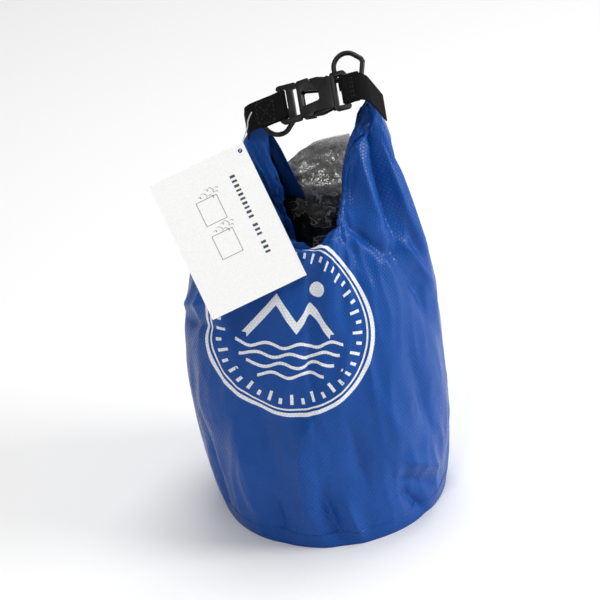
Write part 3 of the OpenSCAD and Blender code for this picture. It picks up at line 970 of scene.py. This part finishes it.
def print_strip(rows):
    """Puts rows of a drawing's points on the fabric: the points, how many rows and columns, and their UVs."""
    rows = np.array(rows, float)
    across = PRINT_ACROSS + rows[..., 0] * PRINT_HALF_WIDTH * MM
    up = PRINT_UP + rows[..., 1] * PRINT_HALF_HEIGHT * MM
    flat = np.stack([across, up], -1).reshape(-1, 2)
    return BAG.at(across, up, INK_LIFT).reshape(-1, 3), rows.shape[:2], flat


def circle_rows(radii, angles, centre=(0, 0)):
    return [[(centre[0] + r * math.cos(a), centre[1] + r * math.sin(a)) for a in angles] for r in radii]


def band_rows(xs, low, high, layers=4):
    """Rows between two outlines given as functions of x."""
    return [[(x, low(x) + (high(x) - low(x)) * t) for x in xs] for t in np.linspace(0, 1, layers)]


def peak(x, middle, height, half):
    return max(0.0, height * (1 - abs(x - middle) / half))


def skyline(x):
    return GROUND + max(peak(x, -0.19, 0.48, 0.36), peak(x, 0.22, 0.36, 0.29))


def snow_line(x):
    return skyline(x) - (SNOW_DEPTH if skyline(x) > -0.005 else skyline(x) - GROUND)


def wave_rows(y, shift):
    half = math.sqrt(WAVE_REACH ** 2 - (abs(y) + 0.05) ** 2) - 0.05

    def middle(x):
        return y + 0.026 * math.sin(x * 17 + shift)

    return band_rows(np.linspace(-half, half, 160), lambda x: middle(x) - 0.018, lambda x: middle(x) + 0.018)


def ray_rows(angle, inner, outer, half_turn):
    """A short bar of the sunburst just inside the rings."""
    return circle_rows(np.linspace(outer, inner, 3), np.linspace(angle + half_turn, angle - half_turn, 4))


def add_print():
    whole = np.linspace(0, 2 * math.pi, 261)
    strips = [circle_rows(np.linspace(1, 0.955, 4), whole), circle_rows((0.928, 0.908), whole)]
    strips += [ray_rows(2 * math.pi * k / RAYS, 0.74 if k % 2 else 0.79, 0.86, 0.021) for k in range(RAYS)]
    strips.append(band_rows(np.linspace(-0.55, 0.51, 120), snow_line, skyline, 5))
    strips += [wave_rows(y, k * 1.7) for k, y in enumerate(WAVE_HEIGHTS)]
    strips.append(circle_rows((0.085, 0.055, 0.03, 0.001), np.linspace(0, 2 * math.pi, 60), SUN))
    points, faces, flat = [], [], []
    for rows in strips:
        block, (count, columns), places = print_strip(rows)
        faces += grid_faces(count, columns, first=len(points))
        points.extend(block.tolist())
        flat.extend(places.tolist())
    piece = new_piece("front_print", points, faces, BAG_PRINT, "bag")
    set_point_uvs(piece, flat)


add_print()


# ---------------- webbing

BUCKLE_AT = Vector((17.5, -10, 336)) * MM
BUCKLE_TILT = 14
BUCKLE_LEAN = 40
BUCKLE_PLACE = (Matrix.Translation(BUCKLE_AT) @ Matrix.Rotation(math.radians(-BUCKLE_TILT), 4, "Y")
                @ Matrix.Rotation(math.radians(-BUCKLE_LEAN), 4, "X"))
WEB_WIDTH = 20
WEB_THICK = 1.35
BAR_X = 24.1
BAR_LOOP = 2.8


def band_section(width, thickness):
    """The outline of a woven band cut across, with rounded edges."""
    half_w, half_t = width / 2, thickness / 2
    edge = min(half_t, 0.7)
    flat = half_w - edge
    section = []
    for side, first_turn in ((1, 80), (-1, -100)):
        section += [(side * w, side * half_t) for w in np.linspace(-flat, flat, 15)]
        for a in np.radians(np.linspace(first_turn, first_turn - 160, 7)):
            section.append((side * flat + edge * math.cos(a), half_t * math.sin(a)))
    return section


def strap_mesh(name, path, width, thickness, frame_axes, place, body, drop=None):
    """A woven band along a path. path is in mm in the plane of the first two axes; its width runs along the third.

    drop, if given, says how far a point of the path is lowered along the third axis, in mm.
    """
    route = spline_through(path, 0.9)
    tangents = unit_rows(np.gradient(route, axis=0))
    sides = np.stack([-tangents[:, 1], tangents[:, 0]], axis=1)
    section = band_section(width, thickness)
    ax, ay, az = (Vector(a) for a in frame_axes)
    lengths = steps_along(route)
    points, n = [], len(section)
    for spot, side in zip(route, sides):
        for w, t in section:
            x, y = spot[0] + side[0] * t, spot[1] + side[1] * t
            local = ax * x + ay * y + az * (w - (drop(x, y) if drop else 0))
            points.append(place @ (local * MM))
    faces = grid_faces(len(route), n, closed=True)
    faces.append(tuple(range(n - 1, -1, -1)))
    faces.append(tuple((len(route) - 1) * n + i for i in range(n)))
    piece = new_piece(name, points, faces, WEBBING, body)
    set_point_uvs(piece, [(length * MM, w * MM) for length in lengths for w, _ in section])
    return piece


FLAT_AXES = ((1, 0, 0), (0, 1, 0), (0, 0, 1))
RING_AXES = ((0, 1, 0), (0, 0, 1), (1, 0, 0))


def join_pieces(name, pieces):
    first = pieces[0]
    made = bmesh.new()
    for piece in pieces:
        made.from_mesh(piece.data)
    made.to_mesh(first.data)
    made.free()
    for piece in pieces[1:]:
        bpy.data.objects.remove(piece)
    first.name = name
    return first


def stitch_rows(name, lines, place, body, radius=0.22, stitch=2.4, gap=0.7):
    """Rows of short thread stitches along straight lines in mm, as small capsules."""
    made = bmesh.new()
    for start, stop in lines:
        start, stop = Vector(start), Vector(stop)
        run = stop - start
        count = max(1, int(run.length / (stitch + gap)))
        direction = run.normalized()
        turn = Vector((0, 0, 1)).rotation_difference(direction).to_matrix().to_4x4()
        for k in range(count):
            middle = start + run * ((k + 0.5) / count)
            shape = Matrix.Translation(middle) @ turn @ Matrix.Diagonal((radius, radius, stitch / 2, 1))
            bmesh.ops.create_uvsphere(made, u_segments=8, v_segments=6, radius=1,
                                      matrix=Matrix.Scale(MM, 4) @ shape)
    mesh = bpy.data.meshes.new(name)
    made.to_mesh(mesh)
    made.free()
    mesh.transform(place)
    mesh.materials.append(THREAD)
    smooth_faces(mesh)
    piece = add_object(name, mesh)
    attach(piece, body)


def box_stitch(x0, x1, y, half=8.0):
    corners = [(x0, y, -half), (x1, y, -half), (x1, y, half), (x0, y, half)]
    sides = [(corners[k], corners[(k + 1) % 4]) for k in range(4)]
    return sides + [(corners[0], corners[2]), (corners[1], corners[3])]


TAB_DROP = 0.5
TAB_SLOPE = 0.14
STITCH_Y = -2.75


def right_drop(x, y):
    """The tab sinks as it turns back round the mouth end."""
    return TAB_DROP * max(0.0, y + 2) * min(1.0, max(0.0, (x - 29) / 3))


def left_drop(x, y):
    return -TAB_SLOPE * (x + BAR_X)


def tab_web(side, outer, inner, body, outer_drop, inner_drop):
    """A tab's webbing: its outer run turns round the buckle's bar and meets the short inner run."""
    runs = [strap_mesh(side + end, path, WEB_WIDTH, WEB_THICK, FLAT_AXES, BUCKLE_PLACE, body, drop=drop)
            for end, path, drop in (("_outer", outer, outer_drop), ("_inner", inner, inner_drop))]
    tab = join_pieces(side + "_tab_web", runs)
    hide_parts(side + "_tab")


def add_tabs():
    right_tail = arc((31, 7), 9, -90, -6, 8) + [(41.4, 14), (43, 24)]
    right_outer = arc((BAR_X, 0), BAR_LOOP, 100, 260, 14) + [(27, -2.3)] + right_tail
    right_inner = [(23.6, 2.76), (26, 2.3), (29, 1.4), (33, 1.4)]
    tab_web("right", right_outer, right_inner, "bag", right_drop, None)
    left_tail = [(-57, 13)] + arc((-45, 7), 9, 190, 270, 8)
    left_outer = left_tail + [(-38, -2.0), (-30, -2.0), (-27, -2.3)] + arc((-BAR_X, 0), BAR_LOOP, -80, 80, 14)
    left_inner = [(-42, 1.2), (-36, 1.2), (-30, 1.2), (-26, 2.3), (-23.6, 2.76)]
    tab_web("left", left_outer, left_inner, "left_end", left_drop, left_drop)
    stitched = BUCKLE_PLACE @ Matrix.Translation((0, 0, -2.3 * MM))
    stitch_rows("left_tab_stitches", box_stitch(-43, -30, STITCH_Y), stitched, "left_end")
    lines = [((x, STITCH_Y, -8), (x, STITCH_Y, 8)) for x in (28.6, 30.2)]
    stitch_rows("right_tab_stitches", lines, BUCKLE_PLACE, "bag")


RIGHT_RING_AT = (25.5, 7.2, 10)
LEFT_RING_AT = (-34, 6.6, -1)
LOOP_RADIUS = 2.75
LOOP_WIDTH = 15
LOOP_THICK = 1.1


def add_ring_loops():
    """The loop that holds each ring. hang says whether its ends run up or down."""
    for name, at, body, hang in (("right_ring_loop", RIGHT_RING_AT, "bag", -1),
                                 ("left_ring_loop", LEFT_RING_AT, "left_end", 1)):
        place = BUCKLE_PLACE @ Matrix.Translation(Vector(at) * MM)
        turn = [(-2.7, hang * 9), (-2.75, hang * 4)]
        turn += [(y, hang * z) for y, z in arc((0, 0), LOOP_RADIUS, 180, -100, 16)]
        piece = strap_mesh(name + "_web", turn, LOOP_WIDTH, LOOP_THICK, RING_AXES, place, body)
        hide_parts(name)


add_tabs()
add_ring_loops()


# ---------------- moulded parts

def softened(name, edge):
    """A CAD part with its moulded edges rounded."""
    mesh = frame["nodes"][name].data.copy()
    paint(mesh, PLASTIC)
    made = bmesh.new()
    made.from_mesh(mesh)
    bmesh.ops.remove_doubles(made, verts=made.verts, dist=0.004 * MM)
    bmesh.ops.dissolve_limit(made, angle_limit=math.radians(1.0), verts=made.verts, edges=made.edges)
    made.to_mesh(mesh)
    made.free()
    piece = add_object(name + "_moulded", mesh)
    bevel = piece.modifiers.new("edges", "BEVEL")
    bevel.width = edge
    bevel.segments = 3
    bevel.limit_method = "ANGLE"
    bevel.angle_limit = math.radians(35)
    apply_modifiers(piece)
    smooth_faces(piece.data)
    piece.data.set_sharp_from_angle(angle=math.radians(32))
    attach(piece, body_holding(name))
    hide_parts(name)


# each moulded part, and how far its edges are rounded in mm
MOULDED = {"buckle_socket": 0.7, "plug_frame": 0.5, "prong_upper": 0.4, "prong_lower": 0.4, "strap_slider": 0.4,
           "hook_one": 0.5, "hook_two": 0.5, "hook_one_eye": 0.4, "hook_two_eye": 0.4, "gate_one": 0.3,
           "gate_two": 0.3}
for part, edge in MOULDED.items():
    softened(part, edge * MM)

# these keep their CAD mesh
for part, material in (("right_ring", PLASTIC), ("left_ring", PLASTIC), ("strap_webbing", PACKED)):
    paint(frame["nodes"][part].data, material)


# ---------------- hang tag

TAG_W, TAG_H, TAG_T = 74, 105, 0.5
TAG_PLACE = (Matrix.Translation(Vector((-45, -59.5, 256.5)) * MM) @ Matrix.Rotation(math.radians(12), 4, "Z")
             @ Matrix.Rotation(math.radians(-30), 4, "X") @ Matrix.Rotation(math.radians(-19.2), 4, "Y"))
HOLE = (32.6, 47.6)
HOLE_RADIUS = 1.6


def tag_bend(x, z):
    """How far the card curls forward at a point, in mm: least at the hole, so the string still meets it."""
    return 1.1 * ((x - HOLE[0]) / TAG_W) ** 2 + 0.8 * ((z - HOLE[1]) / TAG_H) ** 2


def tag_point(x, z, front):
    return TAG_PLACE @ (Vector((x, -front - tag_bend(x, z) + 0.6, z)) * MM)


def tag_spokes(spokes):
    """Directions out from the hole, with the distance to the card's outline. Four of them meet the corners."""
    outline = []
    for k in range(spokes):
        a = 2 * math.pi * k / spokes
        reach = 1e9
        for part, size, hole in ((math.cos(a), TAG_W, HOLE[0]), (math.sin(a), TAG_H, HOLE[1])):
            if abs(part) > 1e-9:
                reach = min(reach, (math.copysign(size, part) / 2 - hole) / part)
        outline.append((math.cos(a), math.sin(a), reach))
    for corner in ((1, 1), (1, -1), (-1, 1), (-1, -1)):
        x, z = corner[0] * TAG_W / 2 - HOLE[0], corner[1] * TAG_H / 2 - HOLE[1]
        angle = math.atan2(z, x) % (2 * math.pi)
        reach = math.hypot(x, z)
        outline[round(angle / (2 * math.pi) * spokes) % spokes] = (x / reach, z / reach, reach)
    return outline


def add_tag():
    """Card with a punched hole: rings of points round the hole, out to the card's outline."""
    spokes, rings = 96, 28
    outline = tag_spokes(spokes)
    points, places = [], []
    for front in (TAG_T / 2, -TAG_T / 2):
        for r in range(rings + 1):
            share = (r / rings) ** 1.3
            for c, s, reach in outline:
                d = HOLE_RADIUS + (reach - HOLE_RADIUS) * share
                x, z = HOLE[0] + c * d, HOLE[1] + s * d
                points.append(tag_point(x, z, front))
                places.append((x * MM, z * MM))
    sheet = (rings + 1) * spokes
    faces = []
    for r in range(rings):
        for k in range(spokes):
            a, b = r * spokes + k, r * spokes + (k + 1) % spokes
            faces.append((a, b, b + spokes, a + spokes))
            faces.append((a + sheet, a + spokes + sheet, b + spokes + sheet, b + sheet))
    for k in range(spokes):
        a, b = k, (k + 1) % spokes
        faces.append((a, a + sheet, b + sheet, b))
        a, b = rings * spokes + k, rings * spokes + (k + 1) % spokes
        faces.append((a, b, b + sheet, a + sheet))
    piece = new_piece("hang_tag_card", points, faces, CARD, "tag", smooth=False)
    set_point_uvs(piece, places)
    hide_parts("hang_tag")


def tag_mark(x, z, w, h):
    """A filled bar on the tag, centred at x, z."""
    steps = max(2, int(max(w, h) / 2))
    return [[(x + u * w, z + v * h) for u in np.linspace(-0.5, 0.5, steps + 1)] for v in (-0.5, 0.5)]


def tag_outline(x, z, w, h, line=0.35):
    return [tag_mark(x, z + h / 2, w, line), tag_mark(x, z - h / 2, w, line),
            tag_mark(x + w / 2, z, line, h), tag_mark(x - w / 2, z, line, h)]


def squiggle(x, z, w, h, loops):
    """A thin curling line, for a strap drawn by hand."""
    line = []
    for t in np.linspace(0, 1, 60):
        a = 2 * math.pi * loops * t
        rise = h / 2 * math.sin(2.2 * math.pi * t) + 1.3 * math.cos(a)
        line.append((x + (t - 0.5) * w + 1.1 * math.sin(a), z + rise))
    return [line, [(u + 0.26, v + 0.22) for u, v in line]]


def add_tag_print():
    """A line of plain bars in place of words, and two small outline drawings of a bag with its strap."""
    rng = np.random.default_rng(4)
    strips = []
    z = 35.0
    for run in (10, 3, 3):
        for _ in range(run):
            size = rng.uniform(2.2, 3.2)
            strips.append(tag_mark(19.6, z - size / 2, 3.8, size * 0.62))
            z -= size + 0.7
        z -= 3.0
    for x, z in ((-4, 18), (-4, -8)):
        strips += tag_outline(x, z, 16, 18)
        strips.append(squiggle(x + 2, z + 10.5, 15, 3.4, 3.5))
        strips.append(squiggle(x + 6, z + 13.5, 9, 2.4, 2.5))
    points, faces = [], []
    for rows in strips:
        faces += grid_faces(len(rows), len(rows[0]), first=len(points))
        points += [tag_point(x, z, TAG_T / 2 + 0.06) for row in rows for x, z in row]
    new_piece("tag_print", points, faces, TAG_INK, "tag", smooth=False)


add_tag()
add_tag_print()


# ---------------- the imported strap's clear bag

PACK_AT = Vector((9, 12.5, 44)) * MM
PACK_LEAN = 5
PACK_PLACE = Matrix.Translation(PACK_AT) @ Matrix.Rotation(math.radians(-PACK_LEAN), 4, "X")
PACK_HALF_W, PACK_HALF_D = 24.5, 12
# the bag's open top, from left to right: x, then its height, in mm
PACK_TOP = [(-33, 203), (-24, 220), (-13, 229), (0, 237), (14, 240), (25, 242)]
# the height the strap fills it to, and where its left edge flares
PACK_FULL = 207
FLARE_AT, FLARE_HALF_HEIGHT, FLARE = 203, 15, 0.32


def crumple(point):
    """Sharp folds in thin film, in mm: ridged noise at three sizes."""
    total = 0
    for scale, share in ((34, 1.0), (75, 0.7), (160, 0.34)):
        value = noise.noise(point * scale + Vector((3.1, 7.7, scale)))
        total += share * (1 - abs(value) * 2.4)
    return total - 1.0


def film_point(angle, share):
    """A point of the film: a flat-sided tube, closed at its foot and pressed flat where it is empty."""
    c, s = math.cos(angle), math.sin(angle)
    x = PACK_HALF_W * signed_power(c, 0.45)
    top = np.interp(x, *zip(*PACK_TOP))
    z = share * top
    if x < 0:
        x *= 1 + FLARE * math.exp(-((z - FLARE_AT) / FLARE_HALF_HEIGHT) ** 2)
    empty = min(1.0, max(0.0, (z - PACK_FULL) / 24))
    foot = max(0.0, 1 - share / 0.05)
    y = PACK_HALF_D * signed_power(s, 0.6) * (1 - 0.82 * empty ** 0.8) * (1 - 0.85 * foot)
    place = Vector((x, y - 1.5 * (1 - empty), z)) * MM
    push = (1.3 + 0.9 * empty) * crumple(place) * (1 - foot)
    out = Vector((signed_power(c, 0.9) * 0.7, signed_power(s, 0.9), 0)).normalized()
    return PACK_PLACE @ (place + out * (push - 0.4) * MM)


def add_clear_bag():
    around, rows = 170, 190
    angles = [2 * math.pi * i / around for i in range(around)]
    points = [film_point(angle, j / rows) for j in range(rows + 1) for angle in angles]
    faces = grid_faces(rows + 1, around, closed=True)
    piece = new_piece("clear_bag_film", points, faces, FILM, "strap_pack")
    made = bmesh.new()
    made.from_mesh(piece.data)
    bottom = [e for e in made.edges if e.is_boundary and all(v.index < around for v in e.verts)]
    bmesh.ops.holes_fill(made, edges=bottom)
    made.to_mesh(piece.data)
    made.free()
    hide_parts("clear_bag")


add_clear_bag()
